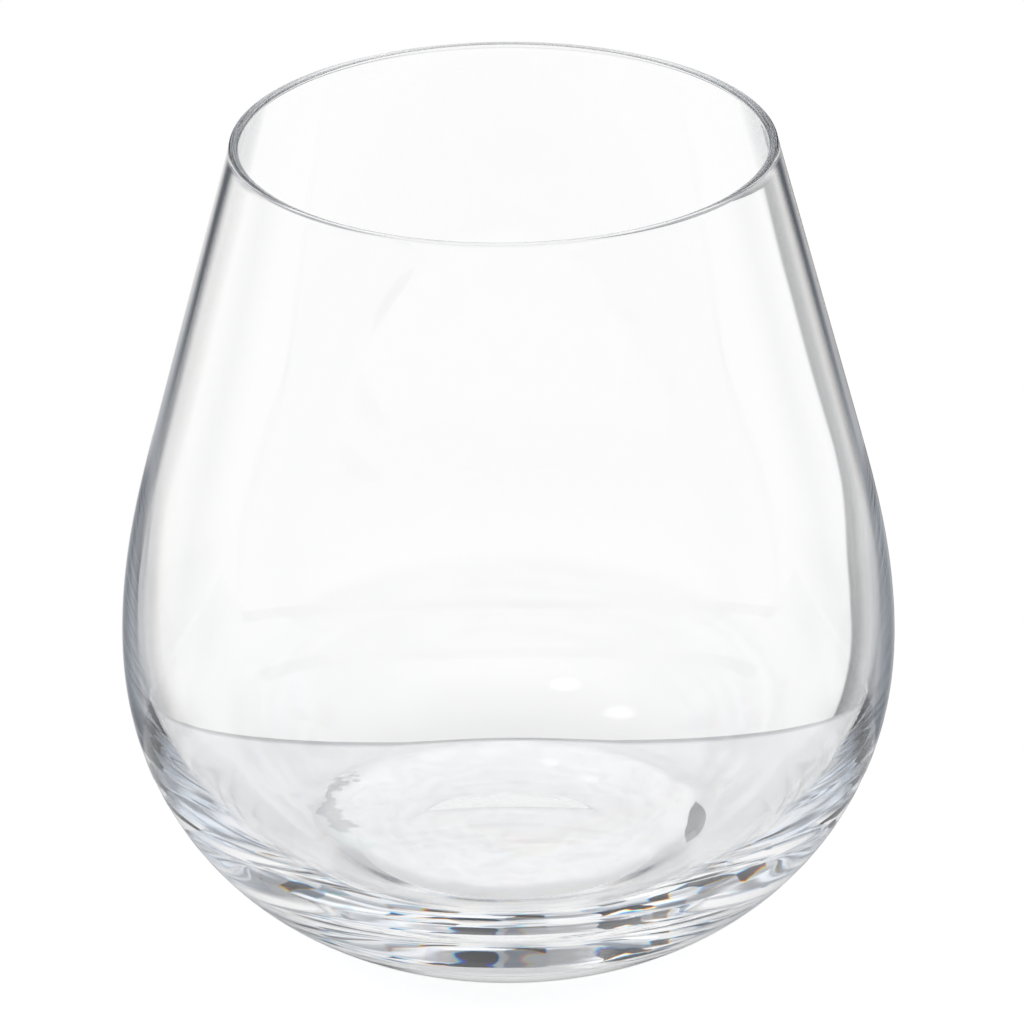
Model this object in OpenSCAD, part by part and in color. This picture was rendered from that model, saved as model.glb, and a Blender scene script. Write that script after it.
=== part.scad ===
// Stemless wine glass: one turned piece of clear glass with a heavy base.
// The origin is the centre of the circle that it stands on, with +Z up.

/* [Outside] */
// Height from the table to the top of the rim
height = 104.5; // [92:0.5:125]
// Diameter at the widest part of the bowl
max_d = 97; // [88:0.5:108]
// Height of the widest part above the table
widest_z = 37; // [32:0.5:41]
// Outside diameter of the rim
rim_d = 67.3; // [58:0.1:76]
// Outside diameter of the flat ring that the glass stands on
foot_d = 41; // [34:0.5:48]
// Radius that rounds the edge of the foot into the bowl
foot_edge_r = 2; // [1:0.1:5]
// Radius of the shoulder, from the widest part to the straight upper wall
shoulder_r = 81; // [60:1:110]
// Width of the flat ring that the glass stands on
foot_ring_w = 4; // [2:0.1:8]
// Height of the shallow hollow under the base
punt_h = 0.8; // [0.3:0.05:2]

/* [Inside] */
// Wall thickness at the rim, which is fully rounded
rim_wall = 1.2; // [0.8:0.05:1.8]
// Wall thickness at the widest part of the bowl
belly_wall = 1.6; // [1.2:0.05:3]
// Height of the widest part of the inside above the table
inner_widest_z = 39; // [36:0.5:43]
// Thickness of the base on the axis, from the table to the inside floor
base_t = 7.4; // [5:0.1:11]
// Diameter of the shallow inside floor
floor_d = 50; // [40:0.5:56]
// Radius of the floor's shallow dish
floor_r = 220; // [120:5:400]
// Radius that rounds the edge of the floor into the belly
floor_edge_r = 9; // [5:0.5:15]

/* [Hidden] */
// Longest step along an arc
point_spacing = 3;
// Most that an arc turns in one step, in degrees
step_turn = 15;
// Sides of the turned surface
$fn = 180;

// Outline of the outside, as [radius, height] points and arc centres

max_r = max_d / 2;
foot_r = foot_d / 2;
rim_bead_r = rim_wall / 2;
rim_centre = [rim_d / 2 - rim_bead_r, height - rim_bead_r];

// The belly arc stands upright at the widest part and rolls into the edge of the foot
foot_edge_centre = [foot_r, foot_edge_r];
belly_r = upright_arc_r([max_r, widest_z] - foot_edge_centre, foot_edge_r);
belly_centre = [max_r - belly_r, widest_z];
foot_edge_end = heading(foot_edge_centre - belly_centre);

// The shoulder arc stands upright at the widest part too, and runs into the straight wall
shoulder_centre = [max_r - shoulder_r, widest_z];
outer_lean = tangent_lean(shoulder_centre, rim_centre, shoulder_r - rim_bead_r);

// The hollow under the base is a shallow cap
punt_r = foot_r - foot_ring_w;
punt_cap_r = (pow(punt_r, 2) + pow(punt_h, 2)) / (2 * punt_h);
punt_centre = [0, punt_h - punt_cap_r];
punt_start = heading([punt_r, 0] - punt_centre);

// Outline of the inside

inner_max_r = max_r - belly_wall;
inner_shoulder_r = shoulder_r - belly_wall;
inner_shoulder_centre = [inner_max_r - inner_shoulder_r, inner_widest_z];
inner_lean = tangent_lean(inner_shoulder_centre, rim_centre, inner_shoulder_r + rim_bead_r);

// The floor is a shallow dish, and its rounded edge starts in line with it
floor_centre = [0, base_t + floor_r];
floor_end = -acos(floor_d / 2 / floor_r);
floor_edge_centre = floor_centre + (floor_r - floor_edge_r) * [cos(floor_end), sin(floor_end)];

// The inner belly arc stands upright at the widest part and rolls into the edge of the floor
inner_belly_r = upright_arc_r([inner_max_r, inner_widest_z] - floor_edge_centre, floor_edge_r);
inner_belly_centre = [inner_max_r - inner_belly_r, inner_widest_z];
floor_edge_end = heading(floor_edge_centre - inner_belly_centre);

// Angle of a direction, counted from straight outwards
function heading(v) = atan2(v.y, v.x);

// Radius of an arc that stands upright at its outer end and rolls into a smaller arc, from the
// step between the smaller arc's centre and that end
function upright_arc_r(step, edge_r) = (step * step - pow(edge_r, 2)) / (2 * (step.x - edge_r));

// Lean of a straight wall that touches a shoulder arc and passes the rim's centre at a given
// distance from the shoulder's centre
function tangent_lean(shoulder, rim, reach) =
    heading(rim - shoulder) - acos(reach / norm(rim - shoulder));

// Points of an arc, both ends included
function arc(centre, radius, from, to) =
    let (turn = abs(to - from))
    let (steps = ceil(max(turn / step_turn, radius * turn * PI / 180 / point_spacing)))
    [for (i = [0 : steps])
        let (angle = from + (to - from) * i / steps)
        centre + radius * [cos(angle), sin(angle)]];

// The wall from the hollow under the base, up the outside, over the rim and down the inside
function wall_outline() = concat(
    arc(punt_centre, punt_cap_r, 90, punt_start),
    arc(foot_edge_centre, foot_edge_r, -90, foot_edge_end),
    arc(belly_centre, belly_r, foot_edge_end, 0),
    arc(shoulder_centre, shoulder_r, 0, outer_lean),
    arc(rim_centre, rim_bead_r, outer_lean, inner_lean + 180),
    arc(inner_shoulder_centre, inner_shoulder_r, inner_lean, 0),
    arc(inner_belly_centre, inner_belly_r, 0, floor_edge_end),
    arc(floor_edge_centre, floor_edge_r, floor_edge_end, floor_end),
    arc(floor_centre, floor_r, floor_end, -90));

// The whole glass, turned round its axis
module glass_body() {
    color([0.93, 0.95, 0.96, 0.35])
        rotate_extrude()
            polygon(wall_outline());
}

glass_body();
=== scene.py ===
import math

import bpy
from mathutils import Euler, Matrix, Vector


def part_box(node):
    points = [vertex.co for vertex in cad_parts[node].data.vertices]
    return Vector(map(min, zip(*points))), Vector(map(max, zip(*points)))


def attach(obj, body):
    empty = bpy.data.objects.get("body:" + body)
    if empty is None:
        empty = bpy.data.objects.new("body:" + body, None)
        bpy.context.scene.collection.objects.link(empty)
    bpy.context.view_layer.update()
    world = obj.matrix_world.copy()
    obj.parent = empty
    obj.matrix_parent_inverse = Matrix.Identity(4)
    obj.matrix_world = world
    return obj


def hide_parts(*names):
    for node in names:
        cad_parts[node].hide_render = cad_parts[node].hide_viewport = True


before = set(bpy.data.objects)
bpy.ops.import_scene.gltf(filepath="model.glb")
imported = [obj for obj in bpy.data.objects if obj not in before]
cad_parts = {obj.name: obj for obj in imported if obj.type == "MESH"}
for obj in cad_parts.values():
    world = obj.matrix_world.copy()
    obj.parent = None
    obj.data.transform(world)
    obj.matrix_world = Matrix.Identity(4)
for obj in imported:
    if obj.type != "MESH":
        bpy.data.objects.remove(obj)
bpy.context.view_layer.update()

# A stemless wine glass, turned as one wall of clear glass, on a white table in a pale room

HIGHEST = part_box("glass_body")[1]

# Sizes of the glass in metres. The height and the widest part come from its solid.

MM = 0.001
HEIGHT = HIGHEST.z
MAX_R = HIGHEST.x
WIDEST_Z = 37 * MM
RIM_R = 33.65 * MM
FOOT_R = 20.5 * MM
FOOT_EDGE_R = 2 * MM
SHOULDER_R = 81 * MM
FOOT_RING_WIDTH = 4 * MM
PUNT_HEIGHT = 0.8 * MM
RIM_WALL = 1.2 * MM
BELLY_WALL = 1.6 * MM
INNER_WIDEST_Z = 39 * MM
BASE_THICKNESS = 7.4 * MM
FLOOR_HALF_WIDTH = 25 * MM
FLOOR_R = 220 * MM
FLOOR_EDGE_R = 9 * MM

# The rim is a full round between the outside and the inside

RIM_BEAD_R = RIM_WALL / 2
RIM_CENTRE = Vector((RIM_R - RIM_BEAD_R, HEIGHT - RIM_BEAD_R))

# How finely the outline is stepped and turned, and how far a sudden change of bend is spread

POINT_SPACING = 1.1 * MM
LEAST_ARC_STEPS = 10
TURN_STEPS = 240
BEND_REACH = 12 * MM

# Points closer than this are one, in the outline and in the turned wall

SAME_POINT = 0.01 * MM
WELD_DISTANCE = 0.002 * MM

QUARTER_TURN = math.pi / 2
HALF_TURN = math.pi
WHOLE_TURN = 2 * math.pi


# Outline of the glass, as points of radius and height


def heading(step):
    """Angle of a step in the outline, counted from straight outwards."""
    return math.atan2(step.y, step.x)


def tangent_lean(shoulder, rim, reach):
    """Lean of a straight wall that touches a shoulder arc and passes the rim's centre."""
    step = rim - shoulder
    return heading(step) - math.acos(reach / step.length)


def arc(centre, radius, start, end):
    """Points of an arc, both ends included, about as far apart as the others of the outline."""
    steps = max(LEAST_ARC_STEPS, math.ceil(radius * abs(end - start) / POINT_SPACING))
    angles = [start + (end - start) * i / steps for i in range(steps + 1)]
    return [centre + radius * Vector((math.cos(a), math.sin(a))) for a in angles]


def straight(start, end):
    """Points of a straight stretch, both ends left out."""
    steps = max(1, math.ceil((end - start).length / POINT_SPACING))
    return [start.lerp(end, i / steps) for i in range(1, steps)]


def joined(*stretches):
    """The stretches in order, with straight lines between them and no point twice."""
    points = []
    for stretch in stretches:
        if points and (stretch[0] - points[-1]).length > SAME_POINT:
            points += straight(points[-1], stretch[0])
            points += stretch
        else:
            points += stretch[1:] if points else stretch
    return points


def upright_arc_r(step, edge_r):
    """Radius of an arc that stands upright at its outer end and rolls into a smaller arc."""
    return (step.length_squared - edge_r**2) / (2 * (step.x - edge_r))


def even_bends(points):
    """The stretch with its sudden changes of bend spread out, and its two ends kept where they are."""
    steps = [b - a for a, b in zip(points, points[1:])]
    # How far along the stretch each point and the middle of each step lies
    places = [0]
    for step in steps:
        places.append(places[-1] + step.length)
    whole = places[-1]
    middles = [(a + b) / 2 for a, b in zip(places, places[1:])]
    # The heading of each step, counted on without a jump of a whole turn
    turns = [heading(steps[0])]
    for step in steps[1:]:
        change = heading(step) - turns[-1]
        turns.append(turns[-1] + math.remainder(change, WHOLE_TURN))
    # Each step again, with the mean heading of the steps within reach
    eased = [points[0].copy()]
    for middle, step in zip(middles, steps):
        reach = min(BEND_REACH, middle, whole - middle)
        weights = [max(0, 1 - abs(other - middle) / reach) for other in middles]
        weights = [weight * other.length for weight, other in zip(weights, steps)]
        turn = sum(weight * angle for weight, angle in zip(weights, turns)) / sum(weights)
        eased.append(eased[-1] + step.length * Vector((math.cos(turn), math.sin(turn))))
    # What the last point misses by is shared out along the stretch
    miss = points[-1] - eased[-1]
    return [point + miss * place / whole for point, place in zip(eased, places)]


def outside_outline():
    """From the axis under the base, over the foot and up the outside to the top of the rim."""
    punt_r = FOOT_R - FOOT_RING_WIDTH
    punt_cap_r = (punt_r**2 + PUNT_HEIGHT**2) / (2 * PUNT_HEIGHT)
    punt_centre = Vector((0, PUNT_HEIGHT - punt_cap_r))
    punt_start = heading(Vector((punt_r, 0)) - punt_centre)
    foot_edge_centre = Vector((FOOT_R, FOOT_EDGE_R))
    belly_r = upright_arc_r(Vector((MAX_R, WIDEST_Z)) - foot_edge_centre, FOOT_EDGE_R)
    belly_centre = Vector((MAX_R - belly_r, WIDEST_Z))
    foot_edge_end = heading(foot_edge_centre - belly_centre)
    shoulder_centre = Vector((MAX_R - SHOULDER_R, WIDEST_Z))
    outer_lean = tangent_lean(shoulder_centre, RIM_CENTRE, SHOULDER_R - RIM_BEAD_R)
    bead = arc(RIM_CENTRE, RIM_BEAD_R, outer_lean, QUARTER_TURN)
    wall = joined(
        arc(belly_centre, belly_r, foot_edge_end, 0),
        arc(shoulder_centre, SHOULDER_R, 0, outer_lean),
        bead[:1],
    )
    return joined(
        arc(punt_centre, punt_cap_r, QUARTER_TURN, punt_start),
        arc(foot_edge_centre, FOOT_EDGE_R, -QUARTER_TURN, foot_edge_end),
        even_bends(wall),
        bead,
    )


def inside_outline():
    """From the top of the rim down the inside to the axis on the shallow floor."""
    inner_max_r = MAX_R - BELLY_WALL
    inner_shoulder_r = SHOULDER_R - BELLY_WALL
    shoulder_centre = Vector((inner_max_r - inner_shoulder_r, INNER_WIDEST_Z))
    inner_lean = tangent_lean(shoulder_centre, RIM_CENTRE, inner_shoulder_r + RIM_BEAD_R)
    floor_centre = Vector((0, BASE_THICKNESS + FLOOR_R))
    floor_end = -math.acos(FLOOR_HALF_WIDTH / FLOOR_R)
    to_edge = Vector((math.cos(floor_end), math.sin(floor_end)))
    edge_centre = floor_centre + (FLOOR_R - FLOOR_EDGE_R) * to_edge
    belly_r = upright_arc_r(Vector((inner_max_r, INNER_WIDEST_Z)) - edge_centre, FLOOR_EDGE_R)
    belly_centre = Vector((inner_max_r - belly_r, INNER_WIDEST_Z))
    belly_end = heading(edge_centre - belly_centre)
    bead = arc(RIM_CENTRE, RIM_BEAD_R, QUARTER_TURN, inner_lean + HALF_TURN)
    wall = joined(
        bead[-1:],
        arc(shoulder_centre, inner_shoulder_r, inner_lean, 0),
        arc(belly_centre, belly_r, 0, belly_end),
        arc(edge_centre, FLOOR_EDGE_R, belly_end, floor_end),
    )
    floor = arc(floor_centre, FLOOR_R, floor_end, -QUARTER_TURN)
    return joined(bead, even_bends(wall), floor)


# The turned wall


def draw_chain(points):
    """A new object with one chain of edges through the points, in the plane of X and Z."""
    bpy.ops.object.select_all(action="DESELECT")
    bpy.ops.mesh.primitive_plane_add(size=MM)
    bpy.ops.object.mode_set(mode="EDIT")
    bpy.ops.mesh.merge(type="CENTER")
    place = Vector((0, 0, 0))
    for i, point in enumerate(points):
        step = Vector((point.x, 0, point.y)) - place
        place += step
        if i == 0:
            bpy.ops.transform.translate(value=step)
        else:
            bpy.ops.mesh.extrude_region_move(TRANSFORM_OT_translate={"value": step})
    bpy.ops.object.mode_set(mode="OBJECT")
    return bpy.context.object


def turn_glass():
    """The glass as one closed wall, turned from its outline."""
    glass = draw_chain(joined(outside_outline(), inside_outline()))
    glass.name = "bowl_of_glass"
    bpy.ops.object.mode_set(mode="EDIT")
    bpy.ops.mesh.select_all(action="SELECT")
    bpy.ops.mesh.spin(steps=TURN_STEPS, angle=WHOLE_TURN, center=(0, 0, 0), axis=(0, 0, 1))
    bpy.ops.mesh.select_all(action="SELECT")
    bpy.ops.mesh.remove_doubles(threshold=WELD_DISTANCE)
    bpy.ops.mesh.normals_make_consistent(inside=False)
    bpy.ops.object.mode_set(mode="OBJECT")
    bpy.ops.object.shade_smooth()
    return glass


# Node trees

NOISE_MIDDLE = 0.5


class Tree:
    """One node tree, with short calls for the nodes that go into it."""

    def __init__(self, owner):
        owner.use_nodes = True
        self.nodes = owner.node_tree.nodes
        self.links = owner.node_tree.links

    def feed(self, socket, value):
        """Link a socket to another one, or set it to a plain value."""
        if isinstance(value, bpy.types.NodeSocket):
            self.links.new(value, socket)
        else:
            socket.default_value = value

    def number(self, operation, *values):
        """The result of a sum on numbers."""
        node = self.nodes.new("ShaderNodeMath")
        node.operation = operation
        for socket, value in zip(node.inputs, values):
            self.feed(socket, value)
        return node.outputs[0]

    def vector(self, operation, *values):
        """The result of a sum on vectors, which is a number for a length or a dot product."""
        node = self.nodes.new("ShaderNodeVectorMath")
        node.operation = operation
        for socket, value in zip(node.inputs, values):
            self.feed(socket, value)
        return node.outputs["Value" if operation in ("LENGTH", "DOT_PRODUCT") else "Vector"]

    def parts(self, vector):
        """The X, Y and Z of a vector."""
        node = self.nodes.new("ShaderNodeSeparateXYZ")
        self.feed(node.inputs[0], vector)
        return node.outputs[0], node.outputs[1], node.outputs[2]

    def share(self, value, reach):
        """How far a number lies between minus its reach and plus its reach, from 0 to 1."""
        return self.number("MULTIPLY_ADD", value, 0.5 / reach, 0.5)

    def step(self, value, low, high, start=0.0, end=1.0):
        """A smooth step from start to end, between two bounds of a number."""
        node = self.nodes.new("ShaderNodeMapRange")
        node.interpolation_type = "SMOOTHSTEP"
        self.feed(node.inputs["Value"], value)
        self.feed(node.inputs["From Min"], low)
        self.feed(node.inputs["From Max"], high)
        self.feed(node.inputs["To Min"], start)
        self.feed(node.inputs["To Max"], end)
        return node.outputs["Result"]

    def ramp(self, value, stops, interpolation="LINEAR"):
        """A colour for a number, from stops that each have a place and a colour or a grey."""
        node = self.nodes.new("ShaderNodeValToRGB")
        node.color_ramp.interpolation = interpolation
        elements = node.color_ramp.elements
        while len(elements) < len(stops):
            elements.new(1)
        for element, (place, colour) in zip(elements, stops):
            element.position = place
            element.color = (*colour, 1) if isinstance(colour, tuple) else (colour, colour, colour, 1)
        self.feed(node.inputs["Fac"], value)
        return node.outputs["Color"]

    def mix(self, share, low, high, blend="MIX"):
        """A mix of two colours."""
        node = self.nodes.new("ShaderNodeMix")
        node.data_type = "RGBA"
        node.blend_type = blend
        self.feed(node.inputs["Factor"], share)
        self.feed(node.inputs["A"], low)
        self.feed(node.inputs["B"], high)
        return node.outputs["Result"]

    def noise(self, vector, scale, detail, output="Fac"):
        """Cloudy noise, as a number or as a colour."""
        node = self.nodes.new("ShaderNodeTexNoise")
        self.feed(node.inputs["Vector"], vector)
        node.inputs["Scale"].default_value = scale
        node.inputs["Detail"].default_value = detail
        return node.outputs[output]

    def object_place(self):
        """The place on the object, in metres from its origin."""
        return self.nodes.new("ShaderNodeTexCoord").outputs["Object"]


# Clear glass, with its tint and the faint unevenness of the drawn wall

GLASS_IOR = 1.52
WALL_TINT = 0.992
BASE_TINT = (0.985, 0.987, 0.989)
TINT_RISE = 24 * MM
DRAWN_SCALE = 70
DRAWN_DETAIL = 1
DRAWN_STRETCH = (1, 1, 0.3)
DRAWN_HEIGHT = 0.02 * MM


def clear_glass():
    """Clear glass, faintly cool in its thick base and faintly uneven, as blown glass is."""
    material = bpy.data.materials.new("clear_glass")
    tree = Tree(material)
    shader = tree.nodes["Principled BSDF"]
    shader.inputs["Roughness"].default_value = 0
    shader.inputs["IOR"].default_value = GLASS_IOR
    shader.inputs["Transmission Weight"].default_value = 1
    place = tree.object_place()
    rise = tree.step(tree.parts(place)[2], 0, TINT_RISE)
    tree.feed(shader.inputs["Base Color"], tree.ramp(rise, ((0, BASE_TINT), (1, WALL_TINT))))
    stretched = tree.vector("MULTIPLY", place, DRAWN_STRETCH)
    drawn = tree.noise(stretched, DRAWN_SCALE, DRAWN_DETAIL)
    bump = tree.nodes.new("ShaderNodeBump")
    bump.inputs["Strength"].default_value = 1
    bump.inputs["Distance"].default_value = DRAWN_HEIGHT
    tree.feed(bump.inputs["Height"], drawn)
    tree.feed(shader.inputs["Normal"], bump.outputs["Normal"])
    return material


# The table, whose far edge lies behind the glass

TABLE_TOP_Z = -0.05 * MM
TABLE_EDGE_Y = 36 * MM
TABLE_WIDTH = 1200 * MM
TABLE_DEPTH = 900 * MM
TABLE_THICKNESS = 20 * MM
TABLE_COLOUR = (0.88, 0.88, 0.88, 1)
TABLE_ROUGHNESS = 0.6
# A painted shade line in grey along the far edge, how much of its width is soft, and where it fades at
# the sides
EDGE_SHADE_COLOUR = (0.52, 0.52, 0.52, 1)
EDGE_LINE_WIDTH = 2.2 * MM
EDGE_LINE_SOFT_SHARE = 0.75
EDGE_LINE_FADE_FROM = 65 * MM
EDGE_LINE_FADE_TO = 95 * MM
# How bright the table is to the camera and through the glass, and how much painted shade dims it away
# from the glass
GLOW_TO_CAMERA = 0.78
GLOW_THROUGH_GLASS = 0.5
FAR_SHADE = 0.12
FAR_SHADE_FROM = 31 * MM
FAR_SHADE_TO = 44 * MM
# A pool of light painted on the table under the bowl, with its blotted edge and its ripples
POOL_CENTRE = (0.5 * MM, 8.8 * MM, TABLE_TOP_Z)
POOL_R = 24.6 * MM
POOL_SOFTNESS = 4 * MM
POOL_GLOW = 0.22
BLOT_SCALE = 160
BLOT_DETAIL = 2
RIPPLE_GLOW = 0.07
RIPPLE_SCALE = 70
RIPPLE_TWIST = 14
RIPPLE_DETAIL = 2
RIPPLE_DETAIL_SCALE = 2
# Painted shade in two dark crescents at the pool's two ends, and the fine blots that break up an
# uneven one
CRESCENT_SOFTNESS = 0.25 * MM
FINE_BLOT_SCALE = 330
FINE_BLOT_DETAIL = 3
FINE_BLOT_DEPTH = 9 * MM
# Each has a centre, radius, direction, half of its span, half of its width, darkness and unevenness
PAINTED_SHADE_CRESCENTS = (
    ((0.5 * MM, 6 * MM), 24.8 * MM, math.radians(-4), math.radians(19), 1.5 * MM, 0.8, 0.0),
    ((0.5 * MM, 12 * MM), 24.7 * MM, math.radians(179), math.radians(33), 1.6 * MM, 0.26, 1.0),
)


def paint_table():
    """White paint. Through the glass it shows a painted shade line on the far edge, a painted pool of
    light, and painted shade round the pool and at its ends.
    """
    material = bpy.data.materials.new("table_white")
    tree = Tree(material)
    shader = tree.nodes["Principled BSDF"]
    shader.inputs["Roughness"].default_value = TABLE_ROUGHNESS
    shader.inputs["Specular IOR Level"].default_value = 0
    path = tree.nodes.new("ShaderNodeLightPath")
    place = tree.object_place()
    line_start = TABLE_EDGE_Y - EDGE_LINE_WIDTH
    line_full = line_start + EDGE_LINE_SOFT_SHARE * EDGE_LINE_WIDTH
    across, depth = tree.parts(place)[:2]
    # The painted shade line along the far edge, which the camera sees only in the glass
    line = tree.step(depth, line_start, line_full)
    sides = tree.step(tree.number("ABSOLUTE", across), EDGE_LINE_FADE_FROM, EDGE_LINE_FADE_TO, 1, 0)
    edged = tree.mix(tree.number("MULTIPLY", line, sides), TABLE_COLOUR, EDGE_SHADE_COLOUR)
    bare = tree.mix(path.outputs["Is Camera Ray"], edged, TABLE_COLOUR)
    tree.feed(shader.inputs["Base Color"], bare)
    tree.feed(shader.inputs["Emission Color"], bare)
    # The painted pool of light, its painted ripples and the painted shade round it
    from_pool = tree.vector("SUBTRACT", place, POOL_CENTRE)
    reach = tree.vector("LENGTH", from_pool)
    blots = tree.number("SUBTRACT", tree.noise(place, BLOT_SCALE, BLOT_DETAIL), NOISE_MIDDLE)
    wavy = tree.number("MULTIPLY_ADD", blots, POOL_SOFTNESS, reach)
    inside = tree.step(wavy, POOL_R - POOL_SOFTNESS / 2, POOL_R + POOL_SOFTNESS / 2, 1, 0)
    rings = tree.nodes.new("ShaderNodeTexWave")
    rings.wave_type = "RINGS"
    rings.rings_direction = "Z"
    rings.inputs["Scale"].default_value = RIPPLE_SCALE
    rings.inputs["Distortion"].default_value = RIPPLE_TWIST
    rings.inputs["Detail"].default_value = RIPPLE_DETAIL
    rings.inputs["Detail Scale"].default_value = RIPPLE_DETAIL_SCALE
    tree.feed(rings.inputs["Vector"], from_pool)
    painted_pool_light = tree.number("MULTIPLY_ADD", rings.outputs["Fac"], RIPPLE_GLOW, POOL_GLOW)
    glow = tree.number("MULTIPLY_ADD", painted_pool_light, inside, GLOW_THROUGH_GLASS)
    shade = tree.step(reach, FAR_SHADE_FROM, FAR_SHADE_TO, 0, FAR_SHADE)
    glow = tree.number("SUBTRACT", glow, shade)
    # The dark crescents of painted shade at its two ends
    fine = tree.noise(place, FINE_BLOT_SCALE, FINE_BLOT_DETAIL)
    uneven = tree.number("MULTIPLY", tree.number("SUBTRACT", fine, NOISE_MIDDLE), FINE_BLOT_DEPTH)
    for centre, radius, direction, half_span, half_width, darkness, unevenness in PAINTED_SHADE_CRESCENTS:
        step = tree.vector("SUBTRACT", place, (*centre, TABLE_TOP_Z))
        towards = (math.cos(direction), math.sin(direction), 0)
        along = tree.vector("DOT_PRODUCT", tree.vector("NORMALIZE", step), towards)
        off = tree.number("SUBTRACT", tree.vector("LENGTH", step), radius)
        off = tree.number("ABSOLUTE", tree.number("MULTIPLY_ADD", uneven, unevenness, off))
        width = tree.step(along, math.cos(half_span), 1, 0, half_width)
        dark = tree.step(tree.number("SUBTRACT", width, off), 0, CRESCENT_SOFTNESS, 0, darkness)
        glow = tree.number("SUBTRACT", glow, dark)
    through = tree.number("MULTIPLY", path.outputs["Is Transmission Ray"], glow)
    direct = tree.number("MULTIPLY", path.outputs["Is Camera Ray"], GLOW_TO_CAMERA)
    strength = tree.number("MAXIMUM", tree.number("ADD", through, direct), 0)
    tree.feed(shader.inputs["Emission Strength"], strength)
    return material


def lay_table():
    """A pale table whose far edge is just behind the glass."""
    bpy.ops.object.select_all(action="DESELECT")
    centre = (0, TABLE_EDGE_Y - TABLE_DEPTH / 2, TABLE_TOP_Z - TABLE_THICKNESS / 2)
    bpy.ops.mesh.primitive_cube_add(size=1, location=centre)
    table = bpy.context.object
    table.name = "table"
    table.scale = (TABLE_WIDTH, TABLE_DEPTH, TABLE_THICKNESS)
    bpy.ops.object.transform_apply(location=True, rotation=True, scale=True)
    table.data.materials.append(paint_table())


# The room round the glass. Heights run from 0 straight down to 1 straight up, and turns from 0 to 1
# with the far side in the middle.


def mirrored(stops):
    """The stops of one half of a ramp, and the same backwards for its other half."""
    return stops + tuple((1 - place, colour) for place, colour in reversed(stops))


WHITE = (1, 1, 1, 1)
GAP_GREY = (0.17, 0.185, 0.205)
UPPER_GAP_GREY = (0.03, 0.033, 0.038)
PANEL_HALF_TURN = math.radians(22.5)
# White panels and half of the grey gap on each side, low down on the far side
FAR_PANEL_STOPS = (
    (0.00, GAP_GREY),
    (0.10, (0.20, 0.215, 0.24)),
    (0.19, (0.32, 0.34, 0.37)),
    (0.255, (0.46, 0.48, 0.51)),
    (0.30, (0.60, 0.59, 0.58)),
    (0.33, (0.87, 0.85, 0.83)),
    (0.35, (0.98, 0.97, 0.96)),
    (0.38, 1.0),
    (0.636, 1.0),
    (0.642, (0.08, 0.08, 0.085)),
    (0.668, (0.14, 0.14, 0.145)),
    (0.70, (0.44, 0.43, 0.42)),
    (0.767, (0.44, 0.46, 0.49)),
    (0.90, (0.24, 0.26, 0.29)),
    (1.00, GAP_GREY),
)
# The same higher up, where the gaps are darker
UPPER_PANEL_STOPS = (
    (0.00, UPPER_GAP_GREY),
    (0.10, (0.04, 0.044, 0.05)),
    (0.19, (0.09, 0.10, 0.11)),
    (0.25, (0.17, 0.18, 0.20)),
    (0.30, (0.42, 0.41, 0.40)),
    (0.335, (0.80, 0.78, 0.76)),
    (0.37, 1.0),
    (0.63, 1.0),
    (0.667, (0.60, 0.60, 0.61)),
    (0.70, (0.20, 0.205, 0.215)),
    (0.767, (0.13, 0.14, 0.155)),
    (0.90, (0.05, 0.055, 0.06)),
    (1.00, UPPER_GAP_GREY),
)
UPPER_FROM = 0.338
UPPER_TO = 0.36
# The same on the other sides
SIDE_PANEL_STOPS = mirrored((
    (0.00, GAP_GREY),
    (0.10, (0.20, 0.215, 0.24)),
    (0.19, (0.34, 0.36, 0.39)),
    (0.30, (0.76, 0.77, 0.79)),
    (0.37, 1.0),
))
# How much narrower the gaps get with height, and the heights and turns that the panels cover
PANEL_SPREAD = ((0.28, 1.0), (0.297, 1.0), (0.321, 0.86), (0.337, 0.65))
SIDE_PANEL_BAND = ((0.25, 0.0), (0.289, 0.5), (0.465, 0.5), (0.509, 0.0))
FAR_PANEL_BAND = ((0.106, 0.0), (0.146, 1.0), (0.545, 1.0), (0.575, 0.0))
FAR_SIDE_TURN = mirrored(((0.39, 0.0), (0.405, 1.0)))
# The panels are a little darker near the ground
LOW_SHADE = 0.86
LOW_SHADE_FROM = 0.205
LOW_SHADE_TO = 0.245
# The walls of the room, from the camera's side to the far side, and the heights that they fill
WALL_STOPS = (
    (0.00, (0.30, 0.32, 0.35)),
    (0.12, (0.25, 0.27, 0.30)),
    (0.20, (0.17, 0.19, 0.22)),
    (0.29, (0.18, 0.20, 0.23)),
    (0.36, (0.38, 0.42, 0.48)),
    (0.44, (0.58, 0.63, 0.69)),
    (0.70, (0.60, 0.64, 0.70)),
    (0.80, (0.74, 0.76, 0.79)),
)
WALL_BAND = ((0.60, 0.0), (0.65, 1.0), (0.75, 1.0), (0.84, 0.0))
STREAK_SCALE = 1.6
STREAK_DETAIL = 2
STREAK_STRETCH = 14.0
STREAK_DEPTH = 0.5
STREAK_FROM = 0.4
STREAK_TO = 0.62
# The small things in the room, which the heavy base breaks into fragments with coloured edges
CELL_SCALE = 9.0
CELL_SHIFT = (2.1, 1.6, 0.4)
CELL_TWIST = 0.16
CELL_TWIST_SCALE = 5.0
CELL_TWIST_DETAIL = 1
CELL_STOPS = (
    (0.00, (0.04, 0.045, 0.05)),
    (0.13, (0.42, 0.47, 0.54)),
    (0.28, (0.80, 0.83, 0.87)),
    (0.45, 1.0),
    (0.85, (0.84, 0.86, 0.89)),
)
CELL_BAND = ((0.60, 0.0), (0.64, 1.0), (0.88, 1.0), (0.94, 0.0))
FRINGE_SHIFT = 0.009
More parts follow.
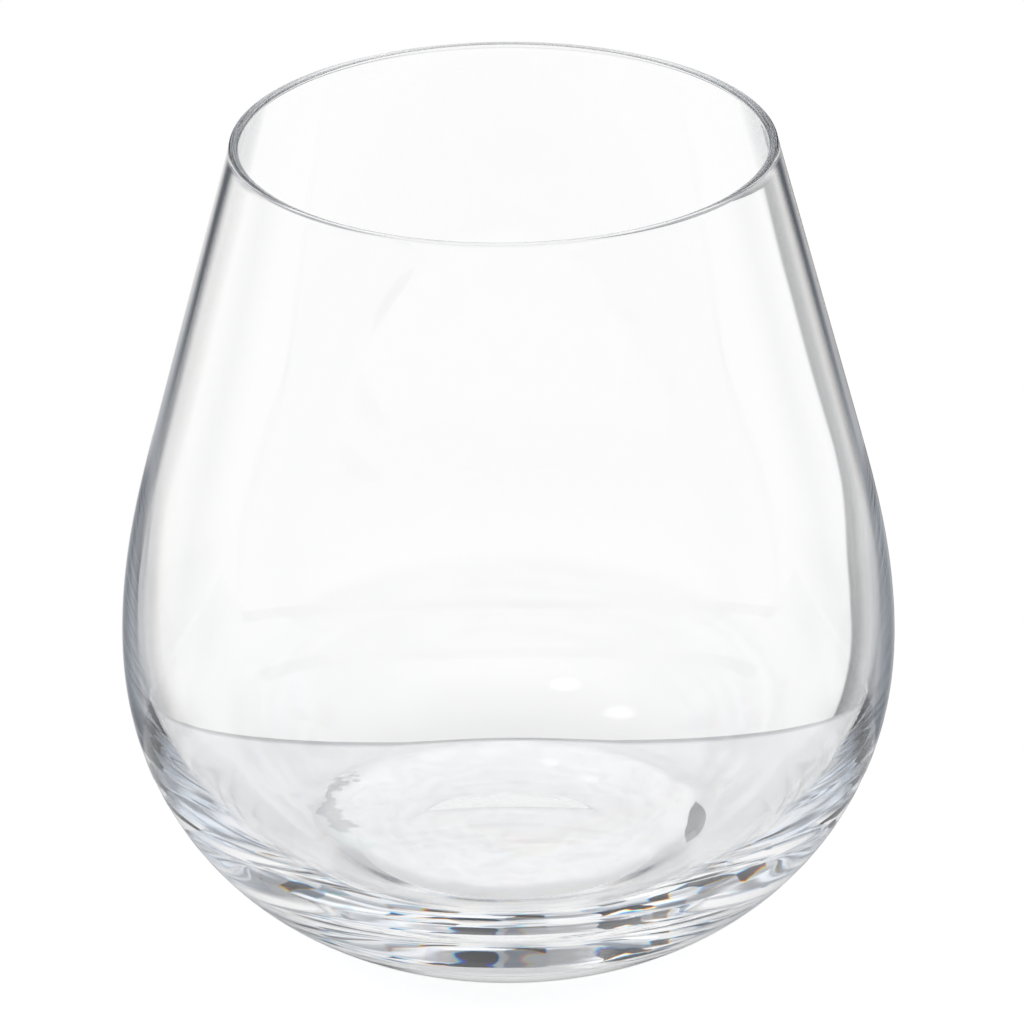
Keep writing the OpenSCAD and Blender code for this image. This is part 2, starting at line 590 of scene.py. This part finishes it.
# The share of them that stays on the camera's side, and the depths between which it fades
NEAR_SIDE_SHARE = 0.12
FAR_SIDE_FROM = 0.0
FAR_SIDE_TO = 0.5
# A dark bar over the camera, mirrored in the far wall of the bowl
BAR_LEAN = 0.62
BAR_RISE = 0.12
BAR_HALF_WIDTH = 0.045
BAR_END = 0.1
BAR_COLOUR = (0.0, 0.0, 0.0, 1)
# The ceiling
CEILING_COLOUR = (0.7, 0.7, 0.7, 1)
CEILING_BAND = ((0.962, 0.0), (0.982, 1.0))
# Two round lamps with soft edges, each with its turn and its rise above the horizon in degrees
LAMPS = ((-125, 74), (-69, 67))
LAMP_CORE = math.radians(0.5)
LAMP_REACH = math.radians(4.5)
LAMP_LIGHT = (4.0, 4.0, 4.0, 1)


def low_panels(tree, azimuth, height):
    """White panels with grey gaps between them, low down, and how far they cover the room."""
    wrapped = tree.number("WRAP", azimuth, PANEL_HALF_TURN, -PANEL_HALF_TURN)
    narrowed = tree.number("MULTIPLY", wrapped, tree.ramp(height, PANEL_SPREAD))
    share = tree.share(narrowed, PANEL_HALF_TURN)
    upper = tree.step(height, UPPER_FROM, UPPER_TO)
    behind = tree.ramp(tree.share(azimuth, HALF_TURN), FAR_SIDE_TURN)
    far = tree.mix(upper, tree.ramp(share, FAR_PANEL_STOPS), tree.ramp(share, UPPER_PANEL_STOPS))
    colour = tree.mix(behind, tree.ramp(share, SIDE_PANEL_STOPS), far)
    shade = tree.step(height, LOW_SHADE_FROM, LOW_SHADE_TO, LOW_SHADE, 1)
    cover = tree.mix(behind, tree.ramp(height, SIDE_PANEL_BAND), tree.ramp(height, FAR_PANEL_BAND))
    return tree.mix(1, colour, shade, "MULTIPLY"), cover


def streaked_walls(tree, azimuth, height, depth):
    """Walls that are dark beside the camera and light on the far side, with soft level streaks."""
    tone = tree.ramp(tree.share(depth, 1), WALL_STOPS)
    level = tree.nodes.new("ShaderNodeCombineXYZ")
    tree.feed(level.inputs["X"], azimuth)
    tree.feed(level.inputs["Y"], tree.number("MULTIPLY", height, STREAK_STRETCH))
    clouds = tree.noise(level.outputs["Vector"], STREAK_SCALE, STREAK_DETAIL)
    streak = tree.step(clouds, STREAK_FROM, STREAK_TO, 1 - STREAK_DEPTH, 1 + STREAK_DEPTH)
    return tree.mix(tree.ramp(height, WALL_BAND), WHITE, tree.mix(1, tone, streak, "MULTIPLY"))


def small_things(tree, direction, height, depth):
    """Dark and pale things of many shapes, seen a little apart in red, green and blue."""
    clouds = tree.noise(direction, CELL_TWIST_SCALE, CELL_TWIST_DETAIL, "Color")
    twisted = tree.vector("MULTIPLY_ADD", clouds, (CELL_TWIST, CELL_TWIST, CELL_TWIST), direction)
    shapes = tree.nodes.new("ShaderNodeCombineColor")
    for i in range(3):
        shift = Vector(CELL_SHIFT) + Vector((0, 0, (i - 1) * FRINGE_SHIFT))
        cells = tree.nodes.new("ShaderNodeTexVoronoi")
        cells.inputs["Scale"].default_value = CELL_SCALE
        tree.feed(cells.inputs["Vector"], tree.vector("ADD", twisted, shift))
        draw = tree.nodes.new("ShaderNodeSeparateColor")
        tree.feed(draw.inputs[0], cells.outputs["Color"])
        channels = tree.nodes.new("ShaderNodeSeparateColor")
        tree.feed(channels.inputs[0], tree.ramp(draw.outputs[0], CELL_STOPS, "CONSTANT"))
        tree.feed(shapes.inputs[i], channels.outputs[i])
    side = tree.step(depth, FAR_SIDE_FROM, FAR_SIDE_TO, NEAR_SIDE_SHARE, 1)
    cover = tree.number("MULTIPLY", tree.ramp(height, CELL_BAND), side)
    return tree.mix(cover, WHITE, shapes.outputs[0])


def surround():
    """White to the camera. The glass sees white panels with grey gaps low down, and a room above."""
    world = bpy.data.worlds.new("studio")
    bpy.context.scene.world = world
    tree = Tree(world)
    direction = tree.nodes.new("ShaderNodeTexCoord").outputs["Generated"]
    across, depth, up = tree.parts(direction)
    azimuth = tree.number("ARCTAN2", across, depth)
    height = tree.share(up, 1)
    walls = streaked_walls(tree, azimuth, height, depth)
    room = tree.mix(1, walls, small_things(tree, direction, height, depth), "MULTIPLY")
    lean = tree.number("MULTIPLY_ADD", depth, BAR_LEAN, up)
    off_bar = tree.number("ABSOLUTE", tree.number("SUBTRACT", lean, BAR_RISE))
    near_bar = tree.number("LESS_THAN", off_bar, BAR_HALF_WIDTH)
    bar = tree.number("MULTIPLY", near_bar, tree.number("LESS_THAN", depth, BAR_END))
    room = tree.mix(bar, room, BAR_COLOUR)
    panels, cover = low_panels(tree, azimuth, height)
    whole = tree.mix(cover, room, panels)
    lit = tree.mix(tree.ramp(height, CEILING_BAND), whole, CEILING_COLOUR)
    for turn, rise in LAMPS:
        aim = Euler((math.radians(rise), 0, -math.radians(turn))).to_matrix() @ Vector((0, 1, 0))
        facing = tree.vector("DOT_PRODUCT", direction, aim)
        disc = tree.step(facing, math.cos(LAMP_REACH), math.cos(LAMP_CORE))
        lit = tree.mix(disc, lit, LAMP_LIGHT)
    path = tree.nodes.new("ShaderNodeLightPath")
    seen = tree.mix(path.outputs["Is Camera Ray"], lit, WHITE)
    tree.feed(tree.nodes["Background"].inputs["Color"], seen)


# The camera, at the photograph's viewing angle

CAMERA_ELEVATION = math.radians(24.4)
CAMERA_DISTANCE = 1010 * MM
CAMERA_LENS = 284.6
CAMERA_ROLL = math.radians(-0.55)
CAMERA_TARGET = Vector((0.6 * MM, 0, 54.5 * MM))


def aim_camera():
    """A view from above the rim, with a long lens."""
    data = bpy.data.cameras.new("camera")
    data.lens = CAMERA_LENS
    camera = bpy.data.objects.new("camera", data)
    bpy.context.scene.collection.objects.link(camera)
    back = Vector((0, -math.cos(CAMERA_ELEVATION), math.sin(CAMERA_ELEVATION)))
    camera.location = CAMERA_TARGET + CAMERA_DISTANCE * back
    turn = (-back).to_track_quat("-Z", "Y") @ Euler((0, 0, CAMERA_ROLL)).to_quaternion()
    camera.rotation_euler = turn.to_euler()
    bpy.context.scene.camera = camera


# The scene. Light crosses many walls of the base before it leaves the glass.

BOUNCES = 96

glass = turn_glass()
glass.data.materials.append(clear_glass())
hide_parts("glass_body")
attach(glass, "root")
lay_table()
surround()
aim_camera()
scene = bpy.context.scene
scene.view_settings.view_transform = "Standard"
scene.cycles.max_bounces = BOUNCES
scene.cycles.transmission_bounces = BOUNCES
scene.cycles.glossy_bounces = BOUNCES
